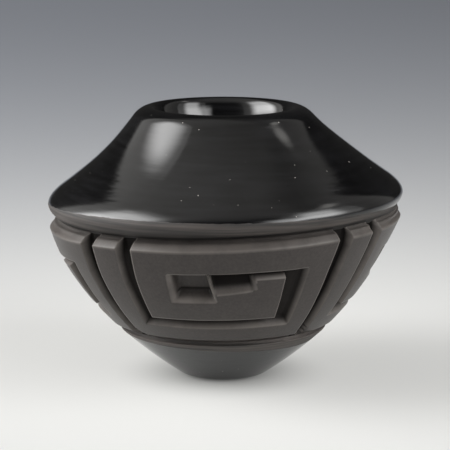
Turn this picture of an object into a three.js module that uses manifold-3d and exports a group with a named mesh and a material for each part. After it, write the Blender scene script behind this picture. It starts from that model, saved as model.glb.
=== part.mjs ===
// Carved pottery bowl: a hand-built, polished black bowl with a squared-spiral fret carved round it.
// Millimetres, +Z up. The foot stands on z = 0, the bowl's axis is Z and the front of the bowl faces -Y.
// It is built up as a potter builds it: a base pat, then courses of clay lapped one on another.

import * as THREE from 'three';
import { mergeVertices } from 'three/addons/utils/BufferGeometryUtils.js';
import Module from 'manifold-3d';

// Overall sizes
const HEIGHT = 107.6; // table to the crest of the lip
const SHOULDER_RADIUS = 70.2; // widest point of the bowl
const SHOULDER_HEIGHT = 72;
const LIP_RADIUS = 28.8; // crest of the lip
const THROAT_RADIUS = 23.8; // narrowest part of the mouth
const FOOT_RADIUS = 16.4; // where the line of the lower wall meets the table
const SEGMENTS = 64; // facets round the bowl

// Lower wall
const FOOT_ROUNDING = 3.6; // how far the rounded foot reaches along the table and up the wall
const LOWER_EDGE_RADIUS = 41.2; // upper end of the polished cone
const LOWER_EDGE_HEIGHT = 19.8;
const LOWER_BULGE = 0.5; // swelling of the cone over a straight line
const PAT_RIM = 0.22; // share of the cone that belongs to the base pat

// Carved band
const BORDER_GROOVE_HEIGHT = 1.6; // from the edge of the cone up to the floor of the groove under the band
const BAND_FOOT_RADIUS = 44.7; // lower edge of the fret
const BAND_FOOT_HEIGHT = 23.4;
const BAND_TOP_INSET = 0.7; // upper edge of the fret, measured in from the widest point
const BAND_TOP_DROP = 9.4; // and down from it
const BAND_BULGE = 2.4; // swelling of the band over a straight line

// Shoulder, neck and lip
const RING_GROOVE_DROP = 5.5; // floor of the groove between fret and shoulder, down from the widest point
const RING_GROOVE_INSET = 5.6; // and in from it
const LEDGE_DROP = 4.05; // lower edge of the ledge over that groove
const LEDGE_INSET = 2.6;
const TIP_RUN = 5.6; // rounded shoulder edge, measured in from the widest point
const TIP_RISE = 6.6; // and up from it
const SLOPE_RUN = 17.6; // from the end of the rounded edge in to where the slope steepens
const SLOPE_RISE = 12.9;
const LIP_RUN = 6.8; // outer side of the rounded lip, measured out from its crest
const LIP_DROP = 3.6; // and down from it
const MOUTH_RUN = 3.4; // level top of the lip, measured in from its crest
const THROAT_DROP = 7.8; // narrowest part of the mouth, down from the crest of the lip

// Clay and joints
const FLOOR = 6.5; // thickness of the base
const LOWER_WALL = 6.5;
const BAND_WALL = 8; // thicker, so that it can be carved
const SHOULDER_WALL = 6;
const NECK_SHARE = 0.5; // how far up the slope the shoulder's two courses meet
const LAP = 4; // how far one course laps over the next at a joint
const SLIP = 0.1; // line of slip that bonds two courses

// Lean of the hand-built body: the left side sags and the right side rises
const LEAN = 0.035;
const LEAN_START = 6; // heights between which the lean sets in
const LEAN_FULL = 60;
const LEAN_EASE = 86; // height from which it fades out towards the level rim

// Sway of the hand-built body: the shoulder sits a little to the right of foot and mouth
const SWAY = 0.8;
const SWAY_START = 48; // heights between which the sway sets in
const SWAY_FULL = 66;
const SWAY_EASE = 92; // height from which it fades out towards the mouth

// Fret: widths of bars and grooves round the bowl, in degrees
const REPEATS = 4;
const PANEL_START = -30.2; // left edge of the front panel, from the front of the bowl
const SPIRAL_GROOVE = 5.6;
const LEFT_ARM = 10.4;
const DEEP_PIT = 16.3;
const SHALLOW_PIT = 14.3;
const TONGUE = 11;
const INNER_GROOVE = 7.8;
const RIGHT_ARM = 8.8;
const DIVIDER = 5.8;

// Fret: heights of bars and grooves
const BOTTOM_BAR = 5.9;
const BOTTOM_GROOVE = 3.8;
const TOP_BAR = 9.3;
const SLOT = 3;
const SHALLOW_PIT_HEIGHT = 10;
const DEEP_PIT_HEIGHT = 12.7;
const CORNER_ROUNDING = 8; // lower left corner of each spiral

// Carving
const GROOVE_DEPTH = 4;
const GROOVE_SLOPE = 1.1; // how far a groove's wall leans out over that depth
const SHALLOW_PIT_FOOT = 0.5; // depth of the right pit at its lower end
const SHALLOW_PIT_TOP = 4.4; // and under the top bar
const DEEP_PIT_DEPTH = 4.6;
const PIT_SLOPE = 1.8;
const CUTTER_RISE = 2; // how far a cutter stands out of the clay
const ANGLE_STEP = 6; // longest straight run of a groove round the bowl, in degrees
const HEIGHT_STEP = 7; // and up the band

const at = (radius, height) => new THREE.Vector2(radius, height);
const bend = (start, control, end) => new THREE.QuadraticBezierCurve(start, control, end);

// Points of a curve between two of its parameters
function along(curve, from, to, steps) {
  return Array.from({ length: steps + 1 }, (_, i) => curve.getPoint(from + ((to - from) * i) / steps));
}

// Point inside the wall, at the wall's thickness from a curve that runs upwards
function inside(curve, t, wall) {
  const tangent = curve.getTangent(t);
  return curve.getPoint(t).add(at(-tangent.y, tangent.x).multiplyScalar(wall));
}

function insideAlong(curve, from, to, steps, wall) {
  return Array.from({ length: steps + 1 }, (_, i) => inside(curve, from + ((to - from) * i) / steps, wall));
}

// Curve between two points with a given swelling over the straight line, to the outer side
function swell(start, end, bulge) {
  const chord = end.clone().sub(start).normalize();
  const control = start.clone().add(end).multiplyScalar(0.5);
  return bend(start, control.add(at(chord.y, -chord.x).multiplyScalar(2 * bulge)), end);
}

// Where the line from a, heading along u, meets the line from b, heading along v
function crossing(a, u, b, v) {
  const gap = b.clone().sub(a);
  return a.clone().add(u.clone().multiplyScalar(gap.cross(v) / u.cross(v)));
}

// Outer line of the bowl, from the foot to the lip
const wallFoot = at(FOOT_RADIUS, 0);
const lowerEdge = at(LOWER_EDGE_RADIUS, LOWER_EDGE_HEIGHT);
const coneWay = lowerEdge.clone().sub(wallFoot).normalize();
const coneStart = wallFoot.clone().add(coneWay.clone().multiplyScalar(FOOT_ROUNDING));
const footCurve = bend(at(FOOT_RADIUS - FOOT_ROUNDING, 0), wallFoot, coneStart);
const cone = swell(coneStart, lowerEdge, LOWER_BULGE);

const bandFoot = at(BAND_FOOT_RADIUS, BAND_FOOT_HEIGHT);
const bandTop = at(SHOULDER_RADIUS - BAND_TOP_INSET, SHOULDER_HEIGHT - BAND_TOP_DROP);
const band = swell(bandFoot, bandTop, BAND_BULGE);
const borderGroove = at(LOWER_EDGE_RADIUS, LOWER_EDGE_HEIGHT + BORDER_GROOVE_HEIGHT);

const tip = at(SHOULDER_RADIUS, SHOULDER_HEIGHT);
const ringGroove = at(SHOULDER_RADIUS - RING_GROOVE_INSET, SHOULDER_HEIGHT - RING_GROOVE_DROP);
const ledgeEdge = at(SHOULDER_RADIUS - LEDGE_INSET, SHOULDER_HEIGHT - LEDGE_DROP);
const ledge = bend(ledgeEdge, at(SHOULDER_RADIUS, SHOULDER_HEIGHT - LEDGE_DROP / 2), tip);
const slopeStart = at(SHOULDER_RADIUS - TIP_RUN, SHOULDER_HEIGHT + TIP_RISE);
const slopeBend = at(slopeStart.x - SLOPE_RUN, slopeStart.y + SLOPE_RISE);
const slopeEnd = at(LIP_RADIUS + LIP_RUN, HEIGHT - LIP_DROP);
const slope = bend(slopeStart, slopeBend, slopeEnd);
const edgeControl = crossing(tip, at(0, 1), slopeStart, slope.getTangent(0));
const edge = bend(tip, edgeControl, slopeStart);
const crest = at(LIP_RADIUS, HEIGHT);
const lipOuter = bend(slopeEnd, crossing(slopeEnd, slope.getTangent(1), crest, at(1, 0)), crest);
const throat = at(THROAT_RADIUS, HEIGHT - THROAT_DROP);
const lipInner = bend(throat, at(LIP_RADIUS - MOUTH_RUN, HEIGHT), crest);

// Joints: on the outside each one lies a lap further up the wall than on the inside
const coneLap = LAP / cone.getLength();
const bandLap = LAP / band.getLength();
const slopeLap = LAP / slope.getLength();
const neckInside = inside(slope, NECK_SHARE, SHOULDER_WALL);
const rimInside = neckInside.clone().add(throat).multiplyScalar(0.5);

// Inner line of the bowl
const patInside = inside(cone, PAT_RIM, LOWER_WALL);
const floorControl = crossing(patInside, cone.getTangent(PAT_RIM), at(0, FLOOR), at(1, 0));
const floorCurve = bend(at(floorControl.x - FOOT_ROUNDING, FLOOR), floorControl, patInside);
const bandTopInside = inside(band, 1, BAND_WALL);
const slopeInside = inside(slope, 0, SHOULDER_WALL);
const hollowControl = crossing(bandTopInside, band.getTangent(1), slopeInside, slope.getTangent(0));
const hollow = bend(bandTopInside, hollowControl, slopeInside);

// Each course holds its outer and its inner line, both from the bottom up.
// The last pair of points is the joint with the course above, which starts from the same pair.
const courses = {
  base_pat: {
    outer: [at(0, 0), ...along(footCurve, 0, 1, 4), cone.getPoint(PAT_RIM + coneLap)],
    inner: [at(0, FLOOR), ...along(floorCurve, 0, 1, 3)],
  },
  lower_wall: {
    outer: [...along(cone, PAT_RIM + coneLap, 1, 3), borderGroove],
    inner: insideAlong(cone, PAT_RIM, 1 - coneLap, 3, LOWER_WALL),
  },
  carved_band: {
    outer: [borderGroove, ...along(band, 0, 1, 6), ringGroove],
    inner: [inside(cone, 1 - coneLap, LOWER_WALL), ...insideAlong(band, bandLap, 1 - bandLap, 4, BAND_WALL)],
  },
  shoulder_edge: {
    outer: [ringGroove, ...along(ledge, 0, 1, 3), ...along(edge, 0, 1, 4).slice(1), slope.getPoint(slopeLap)],
    inner: [inside(band, 1 - bandLap, BAND_WALL), ...along(hollow, 0, 1, 4)],
  },
  shoulder_wall: {
    outer: along(slope, slopeLap, NECK_SHARE + slopeLap, 3),
    inner: insideAlong(slope, 0, NECK_SHARE, 3, SHOULDER_WALL),
  },
  neck_wall: {
    outer: along(slope, NECK_SHARE + slopeLap, 1, 3),
    inner: [neckInside, rimInside],
  },
  rim_lip: {
    outer: along(lipOuter, 0, 1, 4),
    inner: [rimInside, ...along(lipInner, 0, 1, 5)],
  },
};

// Turns one course, which either starts on the axis or closes on itself.
// A course that stands on another is lifted off their joint by the thickness of the slip.
function turnCourse({ outer, inner }) {
  const profile = [...outer, ...inner.toReversed()];
  if (outer[0].x > 0) {
    const joint = inner[0].clone().sub(outer[0]);
    const lift = at(joint.y, -joint.x).setLength(SLIP);
    profile[0] = outer[0].clone().add(lift);
    profile[profile.length - 1] = inner[0].clone().add(lift);
    profile.push(profile[0].clone());
  }
  return new THREE.LatheGeometry(profile, SEGMENTS).rotateX(Math.PI / 2);
}

// Height on the band to the parameter of its curve, also a little past both ends
function bandParameter(height) {
  const a = bandFoot.y - 2 * band.v1.y + bandTop.y;
  const b = 2 * (band.v1.y - bandFoot.y);
  const c = bandFoot.y - height;
  return (2 * -c) / (b + Math.sqrt(b * b - 4 * a * c));
}

// Lays a flat cutter on the band: x is the arc length at the widest point, y the height, z the way out
function layOnBand(geometry) {
  const position = geometry.attributes.position;
  for (let i = 0; i < position.count; i++) {
    const angle = position.getX(i) / SHOULDER_RADIUS;
    const t = bandParameter(position.getY(i));
    const u = 1 - t;
    const way = at(
      u * (band.v1.x - bandFoot.x) + t * (bandTop.x - band.v1.x),
      u * (band.v1.y - bandFoot.y) + t * (bandTop.y - band.v1.y),
    ).normalize();
    const radius = u * u * bandFoot.x + 2 * u * t * band.v1.x + t * t * bandTop.x + way.y * position.getZ(i);
    const height = u * u * bandFoot.y + 2 * u * t * band.v1.y + t * t * bandTop.y - way.x * position.getZ(i);
    position.setXYZ(i, radius * Math.sin(angle), -radius * Math.cos(angle), height);
  }
  return geometry;
}

// Corners given as [degrees, height] to points on the flat cutter
const onBand = ([degrees, height]) => at(THREE.MathUtils.degToRad(degrees) * SHOULDER_RADIUS, height);

// How many steps the run between two corners needs, so that it follows the curve of the band
function stepsBetween(from, to) {
  const turns = Math.abs(to[0] - from[0]) / ANGLE_STEP;
  const rises = Math.abs(to[1] - from[1]) / HEIGHT_STEP;
  return Math.max(1, Math.ceil(Math.max(turns, rises) - 1e-6));
}

// Moves a line of points sideways: a positive distance goes to the left of the way it runs
function moveAside(line, distance) {
  return line.map((p, i) => {
    const before = line[Math.max(i - 1, 0)];
    const after = line[Math.min(i + 1, line.length - 1)];
    const wayIn = (i > 0 ? p.clone().sub(before) : after.clone().sub(p)).normalize();
    const wayOut = (i < line.length - 1 ? after.clone().sub(p) : p.clone().sub(before)).normalize();
    const share = distance / (1 + wayIn.dot(wayOut));
    return at(p.x - (wayIn.y + wayOut.y) * share, p.y + (wayIn.x + wayOut.x) * share);
  });
}

// Cutter swept along a groove's two edges, whose corners are given in pairs as [degrees, height].
// Its walls slope: full width from the clay's surface outwards, narrower towards its floor.
function sweepGroove(rightCorners, leftCorners) {
  const right = [onBand(rightCorners[0])];
  const left = [onBand(leftCorners[0])];
  for (let i = 1; i < rightCorners.length; i++) {
    const steps = stepsBetween(rightCorners[i - 1], rightCorners[i]);
    for (let k = 1; k <= steps; k++) {
      right.push(onBand(rightCorners[i - 1]).lerp(onBand(rightCorners[i]), k / steps));
      left.push(onBand(leftCorners[i - 1]).lerp(onBand(leftCorners[i]), k / steps));
    }
  }
  const section = [
    [moveAside(right, GROOVE_SLOPE), -GROOVE_DEPTH],
    [right, 0],
    [right, CUTTER_RISE],
    [left, CUTTER_RISE],
    [left, 0],
    [moveAside(left, -GROOVE_SLOPE), -GROOVE_DEPTH],
  ];
  const sides = section.length;
  const positions = [];
  const faces = [];
  for (let i = 0; i < right.length; i++) {
    for (const [line, out] of section) positions.push(line[i].x, line[i].y, out);
    if (i === 0) continue;
    for (let k = 0; k < sides; k++) {
      const a = (i - 1) * sides + k;
      const b = (i - 1) * sides + ((k + 1) % sides);
      faces.push(a, b + sides, b, a, a + sides, b + sides);
    }
  }
  const last = (right.length - 1) * sides;
  for (let k = 1; k < sides - 1; k++) {
    faces.push(0, k, k + 1);
    faces.push(last, last + k + 1, last + k);
  }
  const geometry = new THREE.BufferGeometry();
  geometry.setAttribute('position', new THREE.Float32BufferAttribute(positions, 3));
  geometry.setIndex(faces);
  return layOnBand(geometry);
}

// Cutter of a pit with four sloping walls, between two corners given as [degrees, height].
// Its floor can lie deeper at the top than at the foot.
function sinkPit(lowerLeft, upperRight, footDepth, topDepth) {
  const low = onBand(lowerLeft);
  const high = onBand(upperRight);
  const across = stepsBetween(lowerLeft, [upperRight[0], lowerLeft[1]]);
  const up = stepsBetween(lowerLeft, [lowerLeft[0], upperRight[1]]);
  const geometry = new THREE.BoxGeometry(1, 1, 2, across, up, 2);
  const position = geometry.attributes.position;
  for (let i = 0; i < position.count; i++) {
    const level = Math.round(position.getZ(i)); // -1 at the floor, 0 at the clay's surface, 1 above it
    const inset = level < 0 ? PIT_SLOPE : 0;
    const x = THREE.MathUtils.lerp(low.x + inset, high.x - inset, position.getX(i) + 0.5);
    const share = position.getY(i) + 0.5;
    const y = THREE.MathUtils.lerp(low.y + inset, high.y - inset, share);
    const floor = -THREE.MathUtils.lerp(footDepth, topDepth, share);
    position.setXYZ(i, x, y, level < 0 ? floor : level * CUTTER_RISE);
  }
  return layOnBand(geometry);
}

// Cutters of one repeat of the fret, turned by an angle in degrees
function fretCutters(turn) {
  const panelLeft = PANEL_START + turn;
  const spiralLeft = panelLeft - SPIRAL_GROOVE;
  const pitLeft = panelLeft + LEFT_ARM;
  const step = pitLeft + DEEP_PIT;
  const tongueLeft = step + SHALLOW_PIT;
  const tongueRight = tongueLeft + TONGUE;
  const armInner = tongueRight + INNER_GROOVE;
  const armOuter = armInner + RIGHT_ARM;
  const barLeft = armOuter + DIVIDER;

  const openTop = ringGroove.y; // a groove that runs into the ring groove above
  const openFoot = BAND_FOOT_HEIGHT - GROOVE_SLOPE; // a groove that runs into the border groove below
  const barTop = BAND_FOOT_HEIGHT + BOTTOM_BAR;
  const innerFoot = barTop + BOTTOM_GROOVE;
  const pitTop = bandTop.y - TOP_BAR;
  const tongueTop = pitTop - SLOT;
  const shallowFoot = pitTop - SHALLOW_PIT_HEIGHT;
  const deepFoot = pitTop - DEEP_PIT_HEIGHT;
  const overlap = THREE.MathUtils.radToDeg(PIT_SLOPE / SHOULDER_RADIUS); // one hollow runs on into the next
  const slotEnd = tongueLeft - overlap;

  const spiralOuter = [
    [spiralLeft, openTop],
    [spiralLeft, barTop],
    [armInner, barTop],
    [armInner, pitTop],
    [slotEnd, pitTop],
  ];
  const spiralInner = [
    [panelLeft, openTop],
    [panelLeft, innerFoot],
    [tongueRight, innerFoot],
    [tongueRight, tongueTop],
    [slotEnd, tongueTop],
  ];

  // The dividing groove widens at its lower end, where the next spiral's corner is rounded off
  const roundAngle = THREE.MathUtils.radToDeg(CORNER_ROUNDING / BAND_FOOT_RADIUS);
  const corner = bend(
    at(barLeft, BAND_FOOT_HEIGHT + CORNER_ROUNDING),
    at(barLeft, BAND_FOOT_HEIGHT),
    at(barLeft + roundAngle, openFoot),
  );
  const dividerLeft = [[barLeft, openTop], ...along(corner, 0, 1, 4).map((p) => [p.x, p.y])];
  const dividerRight = dividerLeft.map(([, height]) => [armOuter, height]);

  return [
    sweepGroove(spiralOuter, spiralInner),
    sweepGroove(dividerRight, dividerLeft),
    sinkPit([step - overlap, shallowFoot], [tongueLeft, pitTop], SHALLOW_PIT_FOOT, SHALLOW_PIT_TOP),
    sinkPit([pitLeft, deepFoot], [step, pitTop], DEEP_PIT_DEPTH, DEEP_PIT_DEPTH),
  ];
}

const wasm = await Module();
wasm.setup();

function toManifold(geometry) {
  geometry.deleteAttribute('normal');
  geometry.deleteAttribute('uv');
  const merged = mergeVertices(geometry, 1e-4);
  return new wasm.Manifold(
    new wasm.Mesh({
      numProp: 3,
      vertProperties: new Float32Array(merged.attributes.position.array),
      triVerts: new Uint32Array(merged.index.array),
    }),
  );
}

function fromManifold(solid) {
  const mesh = solid.getMesh();
  const geometry = new THREE.BufferGeometry();
  geometry.setAttribute('position', new THREE.BufferAttribute(new Float32Array(mesh.vertProperties), 3));
  geometry.setIndex(new THREE.BufferAttribute(new Uint32Array(mesh.triVerts), 1));
  return geometry;
}

// Carves all repeats of the fret out of the plain band
function carve(geometry) {
  let solid = toManifold(geometry);
  for (let i = 0; i < REPEATS; i++) {
    for (const cutter of fretCutters((360 / REPEATS) * i)) solid = solid.subtract(toManifold(cutter));
  }
  return fromManifold(solid);
}

// How far a lean or sway has set in at a height: none at the foot and at the rim, all of it in between
function strength(height, start, full, ease) {
  const fadeOut = 1 - THREE.MathUtils.smoothstep(height, ease, HEIGHT);
  return THREE.MathUtils.smoothstep(height, start, full) * fadeOut;
}

// Leans and sways every piece in the same way
function leanOver(geometry) {
  const position = geometry.attributes.position;
  for (let i = 0; i < position.count; i++) {
    const height = position.getZ(i);
    const across = position.getX(i);
    position.setX(i, across + SWAY * strength(height, SWAY_START, SWAY_FULL, SWAY_EASE));
    position.setZ(i, height + LEAN * strength(height, LEAN_START, LEAN_FULL, LEAN_EASE) * across);
  }
  geometry.computeVertexNormals();
  return geometry;
}

const polished = { color: 0x141414, roughness: 0.15, metalness: 0 };
const matte = { color: 0x474443, roughness: 0.8, metalness: 0 };

const bowl = new THREE.Group();
for (const [name, lines] of Object.entries(courses)) {
  const carved = name === 'carved_band';
  const plain = turnCourse(lines);
  const geometry = leanOver(carved ? carve(plain) : plain);
  const mesh = new THREE.Mesh(geometry, new THREE.MeshStandardMaterial(carved ? matte : polished));
  mesh.name = name;
  bowl.add(mesh);
}

export default bowl;
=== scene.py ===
"""Carved pottery bowl: a hand-built, stone-burnished black bowl with a squared-spiral fret carved round it.

Metres, +Z up, as in the CAD frame: the foot stands on z = 0 and the front of the bowl faces -Y.
Angles round the bowl count from the front, and grow towards +X.
"""

import math

import bmesh
import bpy
from bpy.props import FloatProperty, FloatVectorProperty, PointerProperty
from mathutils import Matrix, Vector, noise
from mathutils.bvhtree import BVHTree


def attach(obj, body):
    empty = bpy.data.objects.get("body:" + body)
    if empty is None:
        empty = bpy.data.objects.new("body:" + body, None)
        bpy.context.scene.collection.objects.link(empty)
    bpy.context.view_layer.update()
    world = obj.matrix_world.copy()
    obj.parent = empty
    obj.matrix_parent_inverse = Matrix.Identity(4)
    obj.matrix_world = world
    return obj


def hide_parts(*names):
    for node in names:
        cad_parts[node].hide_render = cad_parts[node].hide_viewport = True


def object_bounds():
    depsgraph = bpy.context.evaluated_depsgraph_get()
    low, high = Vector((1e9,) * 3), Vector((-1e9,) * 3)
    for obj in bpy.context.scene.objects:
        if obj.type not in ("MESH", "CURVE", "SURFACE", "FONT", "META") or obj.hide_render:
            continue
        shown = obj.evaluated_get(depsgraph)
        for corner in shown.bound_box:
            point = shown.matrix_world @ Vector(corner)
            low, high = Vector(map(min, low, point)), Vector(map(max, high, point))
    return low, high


bl_info = {
    "name": "Carved Pottery Bowl",
    "version": (1, 0, 0),
    "blender": (4, 5, 0),
    "location": "View3D > Sidebar > Bowl",
    "description": "Builds a burnished black bowl with a carved fret band, and the studio around it",
    "category": "Add Mesh",
}

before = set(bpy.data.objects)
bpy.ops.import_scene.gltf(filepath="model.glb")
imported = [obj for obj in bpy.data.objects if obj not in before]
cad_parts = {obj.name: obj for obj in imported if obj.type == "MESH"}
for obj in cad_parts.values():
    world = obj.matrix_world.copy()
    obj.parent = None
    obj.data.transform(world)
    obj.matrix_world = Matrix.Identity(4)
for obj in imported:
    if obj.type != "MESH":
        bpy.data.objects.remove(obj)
CAD_LOW, CAD_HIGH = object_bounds()

MM = 0.001
REPEATS = 4  # spirals round the bowl
TURN = 360 / REPEATS
COLUMN = 0.5  # degrees between two columns of the carved band's mesh
ROW = 0.5 * MM  # height between two of its rows
LEAN = 0.035  # rise of the leaning body to the right, for a way of 1
SWAY = 0.8 * MM  # shift of its widest part to the right


def linear(code):
    """A colour given as an sRGB hex value, as linear red, green and blue."""
    parts = [int(code[i : i + 2], 16) / 255 for i in (1, 3, 5)]
    return tuple(c / 12.92 if c <= 0.04045 else ((c + 0.055) / 1.055) ** 2.4 for c in parts)


def length(name, description, millimetres):
    size = millimetres * MM
    return FloatProperty(name=name, description=description, default=size, unit="LENGTH", precision=4)


def angle(name, description, degrees):
    turn = math.radians(degrees)
    return FloatProperty(name=name, description=description, default=turn, subtype="ANGLE")


def colour(name, description, code):
    value = linear(code)
    return FloatVectorProperty(name=name, description=description, default=value, size=3, subtype="COLOR")


class BowlSizes(bpy.types.PropertyGroup):
    """Sizes of the turned form; the overall ones come from the CAD frame."""

    height: length("Height", "Table to the crest of the lip", CAD_HIGH.z / MM)
    shoulder_radius: length("Shoulder Radius", "Widest point of the bowl", CAD_HIGH.y / MM)
    shoulder_height: length("Shoulder Height", "Height of the widest point", 72)
    lip_radius: length("Lip Radius", "Crest of the lip", 28.8)
    throat_radius: length("Throat Radius", "Narrowest part of the mouth", 23.8)
    throat_drop: length("Throat Drop", "Narrowest part, down from the crest of the lip", 7.8)
    foot_radius: length("Foot Radius", "Where the line of the lower wall meets the table", 16.4)
    foot_rounding: length("Foot Rounding", "Reach of the rounded foot", 3.6)
    edge_radius: length("Lower Edge Radius", "Upper end of the polished cone", 41.2)
    edge_height: length("Lower Edge Height", "Upper end of the polished cone", 19.8)
    band_foot_radius: length("Band Foot Radius", "Lower edge of the fret", 44.7)
    band_foot_height: length("Band Foot Height", "Lower edge of the fret", 23.4)
    band_top_inset: length("Band Top Inset", "Upper edge of the fret, in from the widest point", 0.7)
    band_top_drop: length("Band Top Drop", "Upper edge of the fret, down from the widest point", 9.4)
    band_bulge: length("Band Bulge", "Swelling of the band over a straight line", 2.4)
    wall: length("Wall", "Thickness of the clay", 6.5)


class FretSizes(bpy.types.PropertyGroup):
    """Bars and grooves of one spiral: widths round the bowl, heights and depths."""

    start: angle("Start", "Left edge of the front spiral's groove", -36.2)
    spiral_groove: angle("Spiral Groove", "Groove left of the panel", 5.6)
    left_arm: angle("Left Arm", "Panel left of the pits", 10.4)
    deep_pit: angle("Deep Pit", "Width of the left pit", 16.3)
    shallow_pit: angle("Shallow Pit", "Width of the right pit", 14.3)
    tongue: angle("Tongue", "Width of the tongue at the heart of the spiral", 11)
    inner_groove: angle("Inner Groove", "Groove right of the tongue", 7.8)
    right_arm: angle("Right Arm", "Panel right of the inner groove", 8.8)
    divider: angle("Divider", "Groove between two spirals", 5.8)
    bottom_bar: length("Bottom Bar", "Height of the bar along the lower edge", 5.9)
    bottom_groove: length("Bottom Groove", "Height of the groove over that bar", 3.8)
    top_bar: length("Top Bar", "Height of the bar along the upper edge", 9.3)
    slot: length("Slot", "Height of the slot over the tongue", 3)
    shallow_height: length("Shallow Pit Height", "Height of the right pit at its left end", 9)
    deep_height: length("Deep Pit Height", "Height of the left pit", 12.7)
    corner: length("Corner", "Rounding of each spiral's lower left corner", 5)
    groove_depth: length("Groove Depth", "Depth of the grooves", 4)
    shallow_depth: length("Shallow Pit Depth", "Depth of the right pit", 4.4)
    deep_depth: length("Deep Pit Depth", "Depth of the left pit", 4.6)


class ClayColours(bpy.types.PropertyGroup):
    """Colours of the fired clay and of the studio."""

    burnished: colour("Burnished Clay", "Stone-burnished black surface", "#0A0A0B")
    scraped: colour("Scraped Clay", "Unpolished edges next to the burnish", "#35302D")
    carved: colour("Carved Clay", "Matte face of the fret", "#393533")
    # Painted shade: the dark colour laid into the floors of the grooves and the other hollows
    recess_shade: colour("Recessed Clay", "Floors of the grooves", "#0D0A08")
    # Painted highlight, with some wear, on the edges of the fret
    lit_and_rubbed: colour("Rubbed Edge", "Edges of the fret, rubbed lighter", "#625D59")
    grit: colour("Grit", "Specks of pale grit in the burnished clay", "#8F8B86")
    paper: colour("Studio Paper", "Floor under and round the bowl", "#A8A8A6")
    # Colour of the paper where its painted light falls off
    paper_far: colour("Studio Paper, Far", "Floor where the light falls off", "#64676E")


def smoothstep(low, high, value):
    t = min(max((value - low) / (high - low), 0.0), 1.0)
    return t * t * (3.0 - 2.0 * t)


def at(radius, height):
    """A point of a profile, in metres."""
    return Vector((radius, 0.0, height))


def bend(start, control, end, steps):
    """Points of a smooth curve from start to end, without its first point."""
    shares = [i / steps for i in range(1, steps + 1)]
    return [start * (1 - t) ** 2 + control * (2 * t * (1 - t)) + end * t**2 for t in shares]


def across(way):
    """The way out of the clay, for a profile that runs upwards."""
    return Vector((way.z, 0, -way.x))


def crossing(a, u, b, v):
    """Where the line from a, heading along u, meets the line from b, heading along v."""
    gap = b - a
    return a + u * ((gap.x * v.z - gap.z * v.x) / (u.x * v.z - u.z * v.x))


def angle_of(co):
    """Angle of a point round the bowl, in degrees from the front."""
    return math.degrees(math.atan2(co.x, -co.y))


def around(radius, theta, height):
    """A point round the bowl, at an angle in degrees from the front."""
    turn = math.radians(theta)
    return Vector((radius * math.sin(turn), -radius * math.cos(turn), height))


def turn_profile(line, steps):
    """Spins a closed profile all the way round the axis of the bowl."""
    bm = bmesh.new()
    ring = [bm.verts.new(p) for p in line]
    edges = [bm.edges.new(pair) for pair in zip(ring, ring[1:] + ring[:1])]
    bmesh.ops.spin(bm, geom=ring + edges, axis=(0, 0, 1), angle=2 * math.pi, steps=steps, use_merge=True)
    bmesh.ops.remove_doubles(bm, verts=bm.verts, dist=1e-7)
    bmesh.ops.recalc_face_normals(bm, faces=bm.faces)
    return bm


def lean_over(bm, height):
    """The hand-built body leans and sways, as in the CAD, but not at the foot and the level rim."""
    for vert in bm.verts:
        x, z = vert.co.x, vert.co.z
        lean = smoothstep(6 * MM, 60 * MM, z) * (1 - smoothstep(86 * MM, height, z))
        sway = smoothstep(48 * MM, 66 * MM, z) * (1 - smoothstep(92 * MM, height, z))
        vert.co.x = x + SWAY * sway
        vert.co.z = z + LEAN * lean * x


def finish_piece(bm, name, finish, nodes):
    """Makes the piece's object, smooth all over, in the place of its CAD nodes."""
    mesh = bpy.data.meshes.new(name)
    bm.to_mesh(mesh)
    bm.free()
    mesh.shade_smooth()
    mesh.materials.append(bpy.data.materials.get(finish.__name__) or finish())
    piece = bpy.data.objects.new(name, mesh)
    bpy.context.scene.collection.objects.link(piece)
    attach(piece, "root")
    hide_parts(*nodes)


def add_node(tree, kind, settings=None, links=None):
    """Adds a node: settings are its own or its inputs' values, links join its inputs to other sockets."""
    made = tree.nodes.new("ShaderNode" + kind)
    for name, value in (settings or {}).items():
        if isinstance(name, str) and hasattr(made, name):
            setattr(made, name, value)
        else:
            made.inputs[name].default_value = value
    for name, socket in (links or {}).items():
        tree.links.new(socket, made.inputs[name])
    return made


def pattern(tree, place, scale, detail):
    """A cloudy pattern, with so many clouds to the metre: one number for all ways, or one for each axis."""
    if isinstance(scale, tuple):
        place = add_node(tree, "Mapping", {"Scale": scale}, {"Vector": place}).outputs["Vector"]
        scale = 1
    return add_node(tree, "TexNoise", {"Scale": scale, "Detail": detail}, {"Vector": place}).outputs["Fac"]


def attribute(tree, name):
    """A number that the mesh carries at each vertex."""
    return add_node(tree, "Attribute", {"attribute_name": name}).outputs["Fac"]


def remap(tree, value, low, high, start=0.0, end=1.0, soft=False):
    """Goes from start to end while the value goes from low to high."""
    settings = {"From Min": low, "From Max": high, "To Min": start, "To Max": end}
    if soft:
        settings["interpolation_type"] = "SMOOTHSTEP"
    return add_node(tree, "MapRange", settings, {"Value": value}).outputs["Result"]


def combine(tree, operation, first, second):
    """One number out of two."""
    return add_node(tree, "Math", {"operation": operation}, {0: first, 1: second}).outputs["Value"]


def vector(tree, operation, place, other=None, out="Vector"):
    """A place, worked on with another one."""
    settings = {"operation": operation} if other is None else {"operation": operation, 1: other}
    return add_node(tree, "VectorMath", settings, {0: place}).outputs[out]


def axes(tree, place):
    """A place's X, Y and Z."""
    return add_node(tree, "SeparateXYZ", None, {"Vector": place}).outputs


def blend(tree, share, start, end, kind="RGBA"):
    """Mixes two colours, or two numbers with kind FLOAT; each is a socket or a value."""
    first, out = {"RGBA": (6, 2), "FLOAT": (2, 0)}[kind]
    settings, links = {"data_type": kind}, {0: share}
    for i, value in ((first, start), (first + 1, end)):
        (links if isinstance(value, bpy.types.NodeSocket) else settings)[i] = value
    return add_node(tree, "Mix", settings, links).outputs[out]


def new_material(name):
    material = bpy.data.materials.new(name)
    material.use_nodes = True
    material.node_tree.nodes.clear()
    return material, material.node_tree


def tone(value, strength=1.0):
    """A colour for a node's socket, made lighter or darker."""
    return (*[c * strength for c in value], 1.0)


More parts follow.
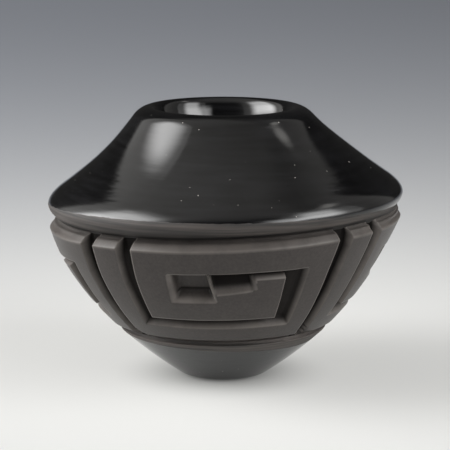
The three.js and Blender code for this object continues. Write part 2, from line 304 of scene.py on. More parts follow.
def burnished_black_clay():
    """Smoke-fired clay, rubbed with a stone: deep black and glossy, with level strokes and pale grit.

    The mesh's "polish" is the way in from the edge of the polish, in millimetres. Past that edge the clay
    is scraped and matte.
    """
    colours = bpy.context.scene.clay_colours
    material, tree = new_material("burnished_black_clay")
    place = add_node(tree, "TexCoord").outputs["Object"]
    reach = attribute(tree, "polish")

    # The stone's strokes run round the bowl: about 1.5 mm from one to the next, and 25 mm long
    strokes = pattern(tree, place, (40, 40, 700), 3)
    # Scraper marks on the matte clay: level lines about 1.2 mm apart
    scrapes = pattern(tree, place, (25, 25, 800), 3)
    # Smoke clouds of about 20 mm
    clouds = pattern(tree, place, 50, 3)

    # The edge of the polish wanders by some tenths of a millimetre
    shift = remap(tree, pattern(tree, place, 300, 3), 0, 1, -0.35, 0.35)
    polish = remap(tree, combine(tree, "ADD", reach, shift), -0.15, 0.15)

    # Pale grit, under half a millimetre, in some of the cells of a 3 mm pattern
    cells = add_node(tree, "TexVoronoi", {"Scale": 330}, {"Vector": place})
    chance = add_node(tree, "SeparateColor", None, {"Color": cells.outputs["Color"]}).outputs["Red"]
    size = remap(tree, chance, 0.45, 1, 0, 0.1)
    grit = combine(tree, "LESS_THAN", cells.outputs["Distance"], size)
    bare = combine(tree, "MULTIPLY", grit, polish)
    shown = combine(tree, "MULTIPLY", bare, chance)

    smoky = remap(tree, combine(tree, "MULTIPLY", clouds, strokes), 0.1, 0.4)
    black = blend(tree, smoky, tone(colours.burnished, 0.4), tone(colours.burnished, 2.2))
    lines = remap(tree, scrapes, 0.36, 0.64)
    grey = blend(tree, lines, tone(colours.scraped, 0.35), tone(colours.scraped, 1.7))
    # Painted shade in the grooves next to the polished clay
    painted_shade = blend(tree, attribute(tree, "recess_shade"), grey, tone(colours.recess_shade))
    clay = blend(tree, polish, painted_shade, black)
    gritty = blend(tree, shown, clay, tone(colours.grit))

    # The gloss is best in the middle of the polished field and duller towards its edge
    gloss = remap(tree, reach, 0, 7, 0.17, 0.09, soft=True)
    streaked = combine(tree, "ADD", gloss, remap(tree, strokes, 0, 1, -0.05, 0.05))
    rough = blend(tree, polish, 0.72, streaked, "FLOAT")

    relief = blend(tree, polish, scrapes, strokes, "FLOAT")
    fine = {"Strength": 0.2, "Distance": 0.06 * MM}
    marks = add_node(tree, "Bump", fine, {"Height": relief}).outputs["Normal"]
    # Near the edge of the polish each stroke is a facet of its own, about 8 mm long
    facets = pattern(tree, place, (120, 120, 600), 1)
    steps = combine(tree, "MULTIPLY", facets, remap(tree, reach, 9, 19, 1.0, 0.12, soft=True))
    turned = {"Strength": 0.3, "Distance": 0.11 * MM}
    waves = add_node(tree, "Bump", turned, {"Height": steps, "Normal": marks}).outputs["Normal"]
    links = {"Base Color": gritty, "Roughness": rough, "Normal": waves}
    shader = add_node(tree, "BsdfPrincipled", {"IOR": 1.6}, links).outputs["BSDF"]
    add_node(tree, "OutputMaterial", None, {"Surface": shader})
    return material


def carved_black_clay():
    """Smoke-fired clay, carved leather-hard and left matte.

    Its faces are dry and grey. Painted shade darkens its recesses and sheltered places, as the mesh's
    attributes give them, and a painted highlight, with some wear, lightens its edges.
    """
    colours = bpy.context.scene.clay_colours
    material, tree = new_material("carved_black_clay")
    place = add_node(tree, "TexCoord").outputs["Object"]

    # Dry clay: grit of about 0.4 mm, mottling of about 1 mm and clouds of about 8 mm
    grit = pattern(tree, place, 2500, 2)
    mottle = pattern(tree, place, 1000, 3)
    clouds = pattern(tree, place, 125, 4)

    cloudy = blend(tree, clouds, tone(colours.carved, 0.8), tone(colours.carved, 1.2))
    uneven = {0: cloudy, "Scale": remap(tree, mottle, 0.25, 0.75, 0.84, 1.16)}
    face = add_node(tree, "VectorMath", {"operation": "SCALE"}, uneven).outputs["Vector"]
    # Painted shade in the sheltered places and in the recesses
    occlusion_shade = remap(tree, attribute(tree, "shelter"), 0.15, 0.55, 0, 0.55, soft=True)
    painted_shade = combine(tree, "MAXIMUM", occlusion_shade, attribute(tree, "recess_shade"))
    browned = blend(tree, painted_shade, face, tone(colours.recess_shade))
    # The painted highlight and wear on the edges is broken up every few millimetres
    broken_up = remap(tree, clouds, 0.25, 0.55, 0.45, 1)
    bright = combine(tree, "MULTIPLY", attribute(tree, "lit_and_rubbed"), broken_up)
    lit_and_rubbed = blend(tree, bright, browned, tone(colours.lit_and_rubbed))

    satin = remap(tree, clouds, 0, 1, 0.32, 0.42)
    rough = blend(tree, painted_shade, satin, 1.0, "FLOAT")
    fine = {"Strength": 0.4, "Distance": 0.1 * MM}
    marks = add_node(tree, "Bump", fine, {"Height": grit}).outputs["Normal"]
    links = {"Base Color": lit_and_rubbed, "Roughness": rough, "Normal": marks}
    shader = add_node(tree, "BsdfPrincipled", {"IOR": 1.33}, links).outputs["BSDF"]
    add_node(tree, "OutputMaterial", None, {"Surface": shader})
    return material


def seamless_paper():
    """Matte studio paper with painted light: pale round the bowl, greyer and bluer where the painted light
    falls off.
    """
    colours = bpy.context.scene.clay_colours
    material, tree = new_material("seamless_paper")
    place = add_node(tree, "TexCoord").outputs["Object"]
    # Painted falloff of light: half of it is gone 0.38 m from the bowl
    both = {0: place, 1: place}
    square = add_node(tree, "VectorMath", {"operation": "DOT_PRODUCT"}, both).outputs["Value"]
    loss = {"operation": "MULTIPLY_ADD", 1: 1 / 0.38**2, 2: 1.0}
    spread = add_node(tree, "Math", loss, {0: square}).outputs["Value"]
    share = add_node(tree, "Math", {"operation": "DIVIDE", 0: 1.0}, {1: spread}).outputs["Value"]
    # Far behind the bowl the painted falloff is darker on the right
    turn = remap(tree, axes(tree, place)["X"], -0.3, 0.3)
    far = blend(tree, turn, tone(colours.paper_far), tone(colours.paper_far, 0.78))
    paper = blend(tree, share, far, tone(colours.paper))
    # The paper glows a little, painted light that keeps its shadows pale; the glow fades out under the bowl,
    # which paints a contact shadow there
    away = vector(tree, "LENGTH", place, out="Value")
    glow = remap(tree, away, 0.0, 0.047, 0, 0.92, soft=True)
    links = {"Base Color": paper, "Emission Color": paper, "Emission Strength": glow}
    shader = add_node(tree, "BsdfPrincipled", {"Roughness": 0.7}, links).outputs["BSDF"]
    add_node(tree, "OutputMaterial", None, {"Surface": shader})
    return material


class Outline:
    """The bowl's turned outline, and the joints at which its pieces meet."""

    def __init__(self, sizes):
        self.foot = at(sizes.foot_radius, 0)
        self.edge = at(sizes.edge_radius, sizes.edge_height)
        self.cone_way = (self.edge - self.foot).normalized()
        self.border_groove = self.edge + Vector((-0.8, 0, 1.9)) * MM

        tip = at(sizes.shoulder_radius, sizes.shoulder_height)
        self.tip = tip
        self.band_foot = at(sizes.band_foot_radius, sizes.band_foot_height)
        self.band_top = tip - at(sizes.band_top_inset, sizes.band_top_drop)
        way = (self.band_top - self.band_foot).normalized()
        self.band_bend = (self.band_foot + self.band_top) / 2 + across(way) * (2 * sizes.band_bulge)
        self.bevel_top = self.band_top + Vector((-2.6, 0, 2.6)) * MM
        self.ring_groove = tip - at(5.6 * MM, 5.5 * MM)
        self.ledge = tip - at(2.6 * MM, 4.05 * MM)
        self.lower_inside = self.edge - across(self.cone_way) * sizes.wall - self.cone_way * (4 * MM)
        self.backing = sizes.wall + 1.5 * MM  # the clay is thicker behind the carving
        self.upper_inside = self.inside_at(self.band_top.z - 3.4 * MM)

    def band_at(self, height):
        """Point of the band's outer curve at a height, the way out of the clay there and the way up."""
        a = self.band_foot.z - 2 * self.band_bend.z + self.band_top.z
        b = 2 * (self.band_bend.z - self.band_foot.z)
        c = self.band_foot.z - height
        t = -2 * c / (b + math.sqrt(b * b - 4 * a * c))
        spot = self.band_foot * (1 - t) ** 2 + self.band_bend * (2 * t * (1 - t)) + self.band_top * t**2
        start_way, end_way = self.band_bend - self.band_foot, self.band_top - self.band_bend
        way = (start_way * (1 - t) + end_way * t).normalized()
        return spot, across(way), way

    def inside_at(self, height):
        """Point of the band's inner face, straight behind the outer curve at a height."""
        spot, out, _ = self.band_at(height)
        return spot - out * self.backing

    def groove_shift(self, theta):
        """How far the groove over the band is filled up at its sides, where the hand tool cut less deep."""
        turn = math.sin(math.radians(theta))
        return (2.3 * turn**4 + 0.8 * turn**3) * MM


def chamfered(way, chamfer, wall):
    """Depth of a pit, as a share, at a way in from its edge: a low chamfer first, and then the wall."""
    if way < chamfer:
        return 0.15 * way / chamfer
    return min(0.15 + 0.85 * (way - chamfer) / wall, 1.0)


def gouged(share):
    """Depth of a gouged groove, at a share of the way from its edge to its floor."""
    return math.sqrt(1 - (1 - min(share, 1.0)) ** 2)


class Carving:
    """The fret: where its edges run, and how deep it is cut at any place on the band."""

    slant = 1.18  # the way up the sloping band, for a height of 1
    uncut = (0.0, 0.0, 0.0)
    # Chamfer and wall of each pit's left, right, lower and upper side, in millimetres
    # The scoop has no lower wall
    deep_walls = ((2.0, 1.6), (0.6, 1.4), (1.6, 2.6), (0.3, 0.6))
    scoop_walls = ((0.2, 0.5), (0.8, 1.4), (0.3, 0.6))
    groove_wall = 1.4 * MM  # from a groove's edge to its floor
    thinning = 0.35  # of the painted shade, across a groove

    def __init__(self, outline, fret):
        self.fret = fret
        widths = (
            fret.spiral_groove,
            fret.left_arm,
            fret.deep_pit,
            fret.shallow_pit,
            fret.tongue,
            fret.inner_groove,
            fret.right_arm,
            fret.divider,
        )
        edges = [0.0]
        for width in widths:
            edges.append(edges[-1] + math.degrees(width))
        self.edges = [*edges, TURN]
        self.columns = [round(edge / COLUMN) * COLUMN for edge in self.edges]
        self.start = math.degrees(fret.start)
        left, panel, pit, step, tongue, tongue_end, arm, arm_end, bar = edges
        self.bar = bar

        foot, top = outline.band_foot.z, outline.band_top.z
        bar_top = foot + fret.bottom_bar
        inner_foot = bar_top + fret.bottom_groove
        pit_top = top - fret.top_bar
        tongue_top = pit_top - fret.slot
        shallow_foot = pit_top - fret.shallow_height
        deep_foot = pit_top - fret.deep_height
        self.foot, self.top = foot, top
        self.heights = [foot, bar_top, inner_foot, deep_foot, shallow_foot, tongue_top, pit_top, top]

        open_end = 1.0  # far outside the band
        run_on = 2.0  # degrees by which one hollow runs on into the next
        # Each with the side that holds most painted shade, if any
        self.grooves = [
            (left, panel, bar_top, open_end, "right"),
            (left, arm, bar_top, inner_foot, "top"),
            (tongue_end, arm, bar_top, pit_top, "left"),
            (tongue - run_on, arm, tongue_top, pit_top, None),
            (arm_end, bar, -open_end, open_end, None),
        ]
        self.deep_pit = (pit, step, deep_foot, pit_top)
        self.shallow_pit = (step, tongue, shallow_foot, pit_top)

    def stray(self, place, height):
        """How far the hand-cut pits stray to the right, in degrees, and up.

        Towards their feet they lean to the right, and the lower edge of the right one climbs.
        """
        panel, pit, step, tongue, tongue_end = self.edges[1:6]
        low, high = self.deep_pit[2:]
        foot = self.shallow_pit[2]
        down = min(max((high - height) / (high - low), 0.0), 1.0)
        # At each upright edge: its lean, in degrees, and the climb of the lower edge, in millimetres
        knots = (
            (panel, 0.0, 0.0),
            (pit, 0.7, 0.0),
            (step, 3.0 * down - 1.3, 0.0),
            (tongue, 2.9 * down, 1.9),
            (tongue_end, 0.0, 0.0),
        )
        near = smoothstep(low - 4 * MM, low, height) * smoothstep(high + 4 * MM, high, height)
        lift = smoothstep(foot - 6 * MM, foot, height) * smoothstep(high - 3 * MM, foot, height) * MM
        for (left, lean, climb), (right, next_lean, next_climb) in zip(knots, knots[1:]):
            if left <= place <= right:
                share = (place - left) / (right - left)
                aside = lean + (next_lean - lean) * share
                return near * aside, lift * (climb + (next_climb - climb) * share)
        return 0.0, 0.0

    def place_of(self, theta):
        """The repeat that a column of the mesh lies in, and its place there, moved to fit the fret."""
        first = round(self.start / COLUMN) * COLUMN
        turns = math.floor((theta - first) / TURN + 1e-6)
        place = theta - first - turns * TURN
        columns, edges = self.columns, self.edges
        for i in range(len(columns) - 1):
            if place <= columns[i + 1] + 1e-4:
                share = (place - columns[i]) / (columns[i + 1] - columns[i])
                return turns, edges[i] + share * (edges[i + 1] - edges[i])
        return turns, place

    def ways_in(self, place, height, arc, box):
        """Ways in over the band from the left, right, lower and upper edge of a box."""
        left, right, low, high = box
        aside = (place - left) * arc, (right - place) * arc
        return *aside, (height - low) * self.slant, (high - height) * self.slant

    def cut(self, place, height, radius):
        """Depth, painted shade and painted highlight at an angle from the left edge of the spiral's groove, a
        height and a radius.
        """
        arc = math.radians(radius)  # the way round the band, for a turn of one degree
        ways = (self.cut_grooves, self.cut_deep_pit, self.cut_scoop, self.cut_corner)
        return max(way(place, height, arc) for way in ways)

    def cut_grooves(self, place, height, arc):
        """The gouged grooves, which run into each other; their painted shade thins out away from one side."""
        share = thinned = opening = 0.0
        for *box, side in self.grooves:
            left, right, low, high = self.ways_in(place, height, arc, box)
            inside = min(left, right, low, high)
            if inside > 0:
                share = max(share, gouged(inside / self.groove_wall))
                width, tall = left + right, low + high
                off = {"right": right / width, "left": left / width, "top": high / tall, None: 0.0}
                thinned = max(thinned, self.thinning * off[side] ** 0.8)
                if box[3] > self.top:
                    # A groove that runs out at the top is cut down to the floor of the ring groove
                    opening = smoothstep(self.top - 5 * MM, self.top + MM, height)
                    thinned *= 1 - opening
        shade_share = smoothstep(0.1, 0.65, share) * (1 - thinned)
        return (self.fret.groove_depth + 1.6 * MM * opening) * share, shade_share, 0.0

    def cut_deep_pit(self, place, height, arc):
        """The left pit: a level floor between chamfered walls."""
        ways = self.ways_in(place, height, arc, self.deep_pit)
        if min(ways) <= 0:
            return self.uncut
        shares = [chamfered(way, a * MM, b * MM) for way, (a, b) in zip(ways, self.deep_walls)]
        left, right, low, _ = shares
        share, up = min(shares), ways[2]
        # Painted shade in the crease at the foot of the lower wall and in its right corner; painted highlight,
        # with wear, on the chamfers
        crease = smoothstep(0.8, 1, low) * smoothstep(5.4 * MM, 4.4 * MM, up) * smoothstep(0.3, 0.7, left)
        shade_share = max(crease, 0.15 * smoothstep(0.8, 1, share))
        if right < 1:
            shade_share = max(shade_share, 0.7 * smoothstep(7 * MM, 4 * MM, up) * smoothstep(0.2, 0.6, share))
        lightened = 0.9 * smoothstep(0, 0.05, share) * smoothstep(0.6, 0.12, share)
        return self.fret.deep_depth * share, shade_share, lightened

    def cut_scoop(self, place, height, arc):
        """The right pit: a scoop, deepest under the top bar, where its painted shade is darkest."""
        ways = self.ways_in(place, height, arc, self.shallow_pit)
        if min(ways) <= 0:
            return self.uncut
        from_left, from_right, up, down = ways
        sides = zip((from_left, from_right, down), self.scoop_walls)
        left, right, high = [chamfered(way, a * MM, b * MM) for way, (a, b) in sides]
        rise = up / (up + down)
        depth = self.fret.shallow_depth * min(left, right, high) * (1 - (1 - rise) ** 1.6)
        # Painted shade under the top bar and in the right crease; painted highlight, with wear, on the lower
        # slope and the right chamfer
        crease = smoothstep(3.2 * MM, 2.2 * MM, from_right) * smoothstep(0.5, 0.95, right)
        shade_share = max(smoothstep(0.12, 0.4, rise) * smoothstep(0.4, 0.9, right), 0.8 * crease)
        lightened = max(0.5 * smoothstep(0.3, 0.1, rise), 0.7 * smoothstep(0.8, 0.4, right))
        return depth, shade_share, lightened * smoothstep(0, 0.06, min(rise, right))

    def cut_corner(self, place, height, arc):
        """The rounded lower left corner of each spiral."""
        corner = self.fret.corner
        aside, up = (place - self.bar) * arc, max((height - self.foot) * self.slant, 0.0)
        if 0 <= aside < corner and up < corner:
            share = smoothstep(0, 3.2 * MM, math.hypot(corner - aside, corner - up) - corner)
            # The corner groove gets painted shade as deep as it is cut
            return self.fret.groove_depth * share, share, 0.0
        return self.uncut


def measure_shelter(bm, spots, shelter):
    """Measures how much of its outlook each vertex loses to the clay around it, where shade is painted.

    Vertices at the same spot of the pattern share one measurement.
    """
    tree = BVHTree.FromBMesh(bm)
    reach = 6 * MM
    # Looks straight out, and all round at two slants: a turn and a rise for each
    looks = [(0.0, 1.0)]
    for count, rise in ((6, 0.85), (9, 0.5)):
        looks += [(2 * math.pi * i / count, rise) for i in range(count)]
    known = {}
    for vert, spot in spots.items():
        if spot not in known:
            normal = vert.normal
            side = Vector((-vert.co.y, vert.co.x, 0)).normalized()
            side = (side - normal * side.dot(normal)).normalized()
            up = normal.cross(side)
            origin = vert.co + normal * (0.15 * MM)
            lost = 0.0
            for turn, rise in looks:
                flat = math.sqrt(1 - rise * rise)
                way = normal * rise + (side * math.cos(turn) + up * math.sin(turn)) * flat
                hit = tree.ray_cast(origin, way, reach)
                if hit[0] is not None:
                    lost += rise * (1 - hit[3] / reach)
            known[spot] = lost / sum(rise for _, rise in looks)
        vert[shelter] = known[spot]


class BOWL_OT_lower_bowl(bpy.types.Operator):
    """Builds the foot and the polished cone under the carved band"""

    bl_idname = "bowl.lower_bowl"
    bl_label = "Lower Bowl"

    def execute(self, context):
        sizes = context.scene.bowl_sizes
        outline = Outline(sizes)
        foot, edge, way = outline.foot, outline.edge, outline.cone_way
        out = across(way)
        start = foot + way * sizes.foot_rounding
        line = [at(0, 0), foot * 0.4, foot - at(sizes.foot_rounding, 0)]
        line += bend(line[-1], foot, start, 8)
        crown = edge - way * (1.6 * MM)
        line += bend(start, (start + crown) / 2 + out * MM, crown, 24)
        # A soft matte ridge ends the cone, and the dark groove under the band is cut behind it
        ridge = edge + at(-0.1 * MM, 0.55 * MM)
        line += bend(crown, edge - at(0, 0.1 * MM), ridge, 6)
        line += bend(ridge, ridge + Vector((-1.0, 0, 0.3)) * MM, outline.border_groove, 5)
        pan = start - out * sizes.wall + way * (4 * MM)
        corner = crossing(pan, way, at(0, sizes.wall), at(1, 0))
        line += [outline.lower_inside] + bend(outline.lower_inside, (outline.lower_inside + pan) / 2, pan, 8)
        line += bend(pan, corner, corner - at(6 * MM, 0), 6) + [at(0, sizes.wall)]
        bm = turn_profile(line, 192)
        polish = bm.verts.layers.float.new("polish")
        recess_shade = bm.verts.layers.float.new("recess_shade")
        for vert in bm.verts:
            radius, z = math.hypot(vert.co.x, vert.co.y), vert.co.z
            if (at(radius, z) - foot).dot(out) > -sizes.wall / 2:
                # The polish ends lower on the right
                end = (17.4 - 1.6 * math.sin(math.radians(angle_of(vert.co)))) * MM
                vert[polish] = (end - z) / way.z / MM
                # A faint painted shade in the groove under the band
                vert[recess_shade] = 0.03 * smoothstep(edge.z + 0.4 * MM, edge.z + 1.3 * MM, z)
            else:
                vert[polish] = -5.0  # the inside is left matte
        lean_over(bm, sizes.height)
        finish_piece(bm, "lower_bowl", burnished_black_clay, ("base_pat", "lower_wall"))
        return {"FINISHED"}


class BOWL_OT_carved_band(bpy.types.Operator):
    """Builds the matte band with the squared-spiral fret"""

    bl_idname = "bowl.carved_band"
    bl_label = "Carved Band"

    def execute(self, context):
        sizes, fret = context.scene.bowl_sizes, context.scene.fret_sizes
        outline = Outline(sizes)
        carving = Carving(outline, fret)

        heights = [carving.heights[0]]
        for low, high in zip(carving.heights, carving.heights[1:]):
            rows = max(1, round((high - low) / ROW))
            heights += [low + (high - low) * (i + 1) / rows for i in range(rows)]
        groove, foot = outline.border_groove, outline.band_foot
        line = [groove] + bend(groove, groove + Vector((0.3, 0, 0.9)) * MM, foot, 7)
        line += [outline.band_at(height)[0] for height in heights[1:]]
        # The band's top edge is rounded over into a bevel, behind which the ring groove is cut
        top, bevel = outline.band_top, outline.bevel_top
        line += bend(top, top + Vector((-0.9, 0, 1.3)) * MM, bevel, 8)
        line += bend(bevel, bevel + Vector((-1.6, 0, 0.1)) * MM, outline.ring_groove, 6)
        inner = [outline.inside_at(height * MM) for height in (58, 50, 42, 34, 27)]
        line += [outline.upper_inside, *inner, outline.lower_inside]
        bm = turn_profile(line, round(360 / COLUMN))

        for name in ("recess_shade", "sunk", "lit_and_rubbed", "shelter"):
            bm.verts.layers.float.new(name)
        layers = bm.verts.layers.float
        sunk, lit_and_rubbed, shelter = layers["sunk"], layers["lit_and_rubbed"], layers["shelter"]
        spots = self.carve(bm, outline, carving, layers["recess_shade"], sunk, lit_and_rubbed)
        # A painted highlight, with wear, on the arris at each edge of the carving
        for edge in bm.edges:
            low, high = sorted(edge.verts, key=lambda v: v[sunk])
            if low[sunk] < 0.1 and high[sunk] > 0.3:
                low[lit_and_rubbed] = 1.0
        bmesh.ops.recalc_face_normals(bm, faces=bm.faces)
        bm.normal_update()
        measure_shelter(bm, spots, shelter)
        for vert in bm.verts:
            vert[shelter] *= smoothstep(20 * MM, 25 * MM, vert.co.z)
        lean_over(bm, sizes.height)
        finish_piece(bm, "carved_fret_band", carved_black_clay, ("carved_band",))
        return {"FINISHED"}

    def carve(self, bm, outline, carving, recess_shade, sunk, lit_and_rubbed):
        """Moves the mesh's columns on to the edges of the fret and sinks its skin by the depth of the carving.

        Gives each vertex of the skin its place in the pattern, which is the same in all the repeats.
        """
        foot, top, arris = outline.band_foot.z, outline.band_top.z, outline.bevel_top.z
        low, high = outline.border_groove.z, outline.ring_groove.z
        noise.seed_set(1)  # so that the hand wavers the same way in every build
        spots = {}
        for vert in bm.verts:
            radius, z = math.hypot(vert.co.x, vert.co.y), vert.co.z
            turns, place = carving.place_of(angle_of(vert.co))
            aside, lift = carving.stray(place, z)
            theta = carving.start + turns * TURN + place + aside
            spot, out, way = outline.band_at(min(max(z, foot), top))
            if (at(radius, z) - spot).dot(out) > -6 * MM:
                spots[vert] = (round(place, 2), round(radius / MM, 2), round(z / MM, 2))
                depth, shade_share, lightened = carving.cut(place, z, radius)
                vert[sunk] = depth / MM
                # Painted shade in the carved hollows and in the ring groove over the bevel
                vert[recess_shade] = max(shade_share, 0.42 * smoothstep(arris - 0.9 * MM, arris + 0.3 * MM, z))
                # Painted highlight, with wear: strongest along the bevel's lower edge, weaker on its face, none
                # in painted shade
                bevel = smoothstep(0.7 * MM, 0, abs(z - top)) + 0.65 * smoothstep(top - MM, top, z)
                vert[lit_and_rubbed] = max(lightened, 0.0 if depth else 0.8 * min(bevel, 1.0) * (1 - vert[recess_shade]))
                filled = outline.groove_shift(theta) * smoothstep(top + 1.2 * MM, high, z)
                radius += filled * (1 - smoothstep(0, 3 * MM, depth))
                # Past the edges of the band the cuts run out in the grooves above and below it
                depth *= max(min((z - low) / (foot - low), (high - z) / (high - top), 1.0), 0.0) ** 0.7
                radius += lift * way.x - depth * out.x
                z += lift * way.z - depth * out.z
                # Cut by hand: the lines waver by a fifth of a millimetre, the faces by less
                free = min(smoothstep(22 * MM, 24 * MM, z), 1 - smoothstep(64 * MM, 66 * MM, z))
                hand = noise.noise_vector(around(radius, theta, z) / (18 * MM))
                theta += math.degrees(0.22 * MM * free * hand.x / radius)
                z += 0.22 * MM * free * hand.y
                radius += 0.12 * MM * free * hand.z
            vert.co = around(radius, theta, z)
        return spots


class BOWL_OT_shoulder(bpy.types.Operator):
    """Builds the ledge over the fret, the polished shoulder, the neck and the lip"""

    bl_idname = "bowl.shoulder"
    bl_label = "Shoulder and Lip"

    def execute(self, context):
        sizes = context.scene.bowl_sizes
        outline = Outline(sizes)
        tip = outline.tip
        ledge = outline.ledge
        slope_start = tip + at(-5.6 * MM, 6.6 * MM)
        slope_bend = slope_start + at(-18.4 * MM, 13.1 * MM)
        slope_end = at(sizes.lip_radius + 7.0 * MM, sizes.height - 3.6 * MM)
        crest = at(sizes.lip_radius, sizes.height)
        throat = at(sizes.throat_radius, sizes.height - sizes.throat_drop)
        start_way, end_way = slope_bend - slope_start, slope_end - slope_bend

        groove = outline.ring_groove
        line = [groove] + bend(groove, groove + Vector((0.2, 0, 1.0)) * MM, ledge, 6)
        line += bend(ledge, at(tip.x - 0.2 * MM, tip.z - 2.2 * MM), tip, 12)
        line += bend(tip, crossing(tip, at(0, 1), slope_start, start_way), slope_start, 16)
        line += bend(slope_start, slope_bend, slope_end, 40)
        line += bend(slope_end, crossing(slope_end, end_way, crest, at(1, 0)), crest, 16)
        line += bend(crest, crest - at(3.4 * MM, 0), throat, 20)
        # The inside follows the slope of the shoulder, 6 mm behind it
        wall = 6 * MM
        under = throat + at(2.4 * MM, -4.4 * MM)
        middle = (slope_start + slope_bend * 2 + slope_end) / 4
        middle -= across((slope_end - slope_start).normalized()) * wall
        low = slope_start - across(start_way.normalized()) * wall
        spot, out, way = outline.band_at(outline.band_top.z)
        side = spot - out * (sizes.wall + 0.5 * MM)
        line += bend(throat, throat - at(0, 3 * MM), under, 6)
        line += bend(under, (under + middle) / 2, middle, 6) + bend(middle, (middle + low) / 2, low, 6)
        line += bend(low, crossing(low, start_way, side, way), side, 8) + [outline.upper_inside]

        bm = turn_profile(line, 288)
        polish = bm.verts.layers.float.new("polish")
        recess_shade = bm.verts.layers.float.new("recess_shade")
        for vert in bm.verts:
            radius = math.hypot(vert.co.x, vert.co.y)
            # The polish comes down further at the sides, and most of all on the right
            turn = math.sin(math.radians(angle_of(vert.co)))
            end = (73.2 - 2.0 * turn - 2.4 * turn**4) * MM
            vert[polish] = self.reach(radius, vert.co.z, end, sizes)
            low = 1 - smoothstep(groove.z + 0.6 * MM, ledge.z, vert.co.z)
            # Painted shade in the ring groove, fading out up to the ledge's edge
            if radius > groove.x - 1e-6 and low > 0:
                vert[recess_shade] = 0.8 * low
                shift = outline.groove_shift(angle_of(vert.co)) * (0.4 + 0.6 * low)
                vert.co.xy *= (radius + shift) / radius
        lean_over(bm, sizes.height)
        nodes = ("shoulder_edge", "shoulder_wall", "neck_wall", "rim_lip")
        finish_piece(bm, "polished_shoulder", burnished_black_clay, nodes)
        return {"FINISHED"}

    def reach(self, radius, height, end, sizes):
        """Way in from the edge of the polish, in millimetres; the mouth counts as well inside it."""
        if radius < sizes.lip_radius and height > sizes.height - sizes.throat_drop - 1e-6:
            return 12.0
        return (height - end) / MM


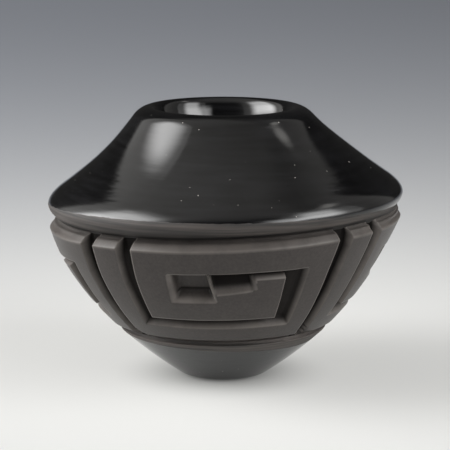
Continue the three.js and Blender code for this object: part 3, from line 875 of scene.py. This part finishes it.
class BOWL_OT_studio(bpy.types.Operator):
    """Sets up the paper floor, the soft lights, the room and the camera"""

    bl_idname = "bowl.studio"
    bl_label = "Studio"

    def execute(self, context):
        scene = context.scene
        bm = bmesh.new()
        bmesh.ops.create_circle(bm, cap_ends=True, radius=8, segments=128)
        mesh = bpy.data.meshes.new("paper_floor")
        bm.to_mesh(mesh)
        bm.free()
        mesh.materials.append(seamless_paper())
        floor = bpy.data.objects.new("paper_floor", mesh)
        scene.collection.objects.link(floor)

        self.softbox(scene, "left_softbox", turn=-87, tilt=0, size=(2.16, 2.1), glow=6.0, foot=0.35, sides=0.03)
        self.softbox(scene, "right_softbox", turn=70, tilt=17, size=(1.29, 1.9), glow=4.9, foot=0.2, sides=0.1)
        self.softbox(scene, "low_front_softbox", turn=38, tilt=0, size=(0.95, 1.1), glow=3.2, foot=0, sides=0)
        self.room(scene)

        # Fitted to the photograph: a focal length of 2172 and a shift of 1.7 of its 450 pixels
        photo_width = 450
        camera = bpy.data.cameras.new("camera")
        camera.sensor_width = 36
        camera.lens = camera.sensor_width * 2172 / photo_width
        camera.shift_x = 1.7 / photo_width
        camera.clip_start = 0.05
        holder = bpy.data.objects.new("camera", camera)
        holder.location = (0, -0.85, 0.218)
        holder.rotation_euler = (math.radians(90 - 10.54), 0, 0)
        scene.collection.objects.link(holder)
        scene.camera = holder
        scene.view_settings.view_transform = "Standard"
        return {"FINISHED"}

    def softbox(self, scene, name, turn, tilt, size, glow, foot, sides):
        """A tall diffuser panel that stands on the floor, a metre from the bowl.

        It is brightest below its middle; foot and sides are its shares of light at its lower edge and at both
        upright edges.
        """
        light = bpy.data.lights.new(name, "AREA")
        light.shape = "RECTANGLE"
        light.size, light.size_y = size
        light.energy = glow * math.pi * size[0] * size[1]
        light.use_nodes = True
        tree = light.node_tree
        tree.nodes.clear()
        # Places on the panel run from 0 to 1, to the right and up
        spot = add_node(tree, "NewGeometry").outputs["Parametric"]
        aside = vector(tree, "ABSOLUTE", vector(tree, "SUBTRACT", spot, (0.5, 0.5, 0)))
        height = axes(tree, spot)["Y"]
        lit = remap(tree, axes(tree, aside)["X"], 0.116, 0.322, 1.0, sides, soft=True)
        fades = ((0.08, 0.25, foot, 1.5), (0.32, 0.5, 1.0, 0.667), (0.595, 0.93, 1.0, 0.1))
        for low, high, start, end in fades:
            lit = combine(tree, "MULTIPLY", lit, remap(tree, height, low, high, start, end, soft=True))
        shader = add_node(tree, "Emission", None, {"Strength": lit}).outputs["Emission"]
        add_node(tree, "OutputLight", None, {"Surface": shader})
        holder = bpy.data.objects.new(name, light)
        holder.location = around(1, turn, size[1] / 2)
        holder.rotation_euler = (math.radians(90), math.radians(tilt), math.radians(turn))
        holder.visible_camera = False
        scene.collection.objects.link(holder)

    def room(self, scene):
        """A dim room, as the polish mirrors it: grey overhead and at the sides, with one weak lamp."""
        world = bpy.data.worlds.new("studio_room")
        world.use_nodes = True
        tree = world.node_tree
        tree.nodes.clear()
        place = add_node(tree, "TexCoord").outputs["Generated"]
        spot = axes(tree, place)
        level = axes(tree, vector(tree, "NORMALIZE", vector(tree, "MULTIPLY", place, (1, 1, 0))))
        # The walls are dark behind the bowl and behind the camera, and brighter on the left
        behind = remap(tree, level["Y"], 0.7, 0.76, 1.0, 0.07, soft=True)
        ahead = remap(tree, level["Y"], -0.95, -0.45, 0.05, 1.0, soft=True)
        sides = remap(tree, level["X"], -1, 1, 0.65, 0.23)
        walls = combine(tree, "MULTIPLY", combine(tree, "MULTIPLY", behind, ahead), sides)
        # Overhead it is darker towards the far right corner
        overhead = remap(tree, spot["X"], -0.35, 0.35, 0.48, 0.29)
        corner = vector(tree, "DOT_PRODUCT", place, (0.6, 0.8, 0), out="Value")
        dusk = remap(tree, corner, 0.2, 0.42, 1.0, 0.5, soft=True)
        ceiling = combine(tree, "MULTIPLY", overhead, dusk)
        rise = remap(tree, spot["Z"], 0.74, 1.0, soft=True)
        glow = blend(tree, rise, walls, ceiling, "FLOAT")
        # A weak lamp high up behind the right shoulder, longer from front to back
        away = vector(tree, "SUBTRACT", place, (0.545, 0.205, 0.813))
        off = vector(tree, "LENGTH", vector(tree, "MULTIPLY", away, (2, 1, 2)), out="Value")
        lamp = remap(tree, off, 0.04, 0.16, 1.4, 0.0, soft=True)
        glow = combine(tree, "ADD", glow, lamp)
        # The camera itself sees an even backdrop past the edge of the paper
        seen = add_node(tree, "LightPath").outputs["Is Camera Ray"]
        shown = blend(tree, seen, glow, 0.25, "FLOAT")
        warm = {"Color": (1, 0.98, 0.94, 1)}
        shader = add_node(tree, "Background", warm, {"Strength": shown}).outputs["Background"]
        add_node(tree, "OutputWorld", None, {"Surface": shader})
        scene.world = world


class BOWL_PT_sidebar(bpy.types.Panel):
    """The bowl's sizes, colours and builders"""

    bl_idname = "BOWL_PT_sidebar"
    bl_label = "Carved Pottery Bowl"
    bl_space_type = "VIEW_3D"
    bl_region_type = "UI"
    bl_category = "Bowl"

    def draw(self, context):
        for title, group in zip(("Bowl", "Fret", "Colours"), GROUPS):
            box = self.layout.box()
            box.label(text=title)
            values = getattr(context.scene, group)
            for name in values.__annotations__:
                box.prop(values, name)
        for builder in BUILDERS:
            self.layout.operator(builder.bl_idname)


GROUPS = {"bowl_sizes": BowlSizes, "fret_sizes": FretSizes, "clay_colours": ClayColours}
BUILDERS = (BOWL_OT_lower_bowl, BOWL_OT_carved_band, BOWL_OT_shoulder, BOWL_OT_studio)
CLASSES = (*GROUPS.values(), *BUILDERS, BOWL_PT_sidebar)


def register():
    for cls in CLASSES:
        bpy.utils.register_class(cls)
    for name, group in GROUPS.items():
        setattr(bpy.types.Scene, name, PointerProperty(type=group))


def unregister():
    for name in GROUPS:
        delattr(bpy.types.Scene, name)
    for cls in reversed(CLASSES):
        bpy.utils.unregister_class(cls)


def main():
    register()
    bpy.ops.bowl.lower_bowl()
    bpy.ops.bowl.carved_band()
    bpy.ops.bowl.shoulder()
    bpy.ops.bowl.studio()


if __name__ == "__main__":
    main()
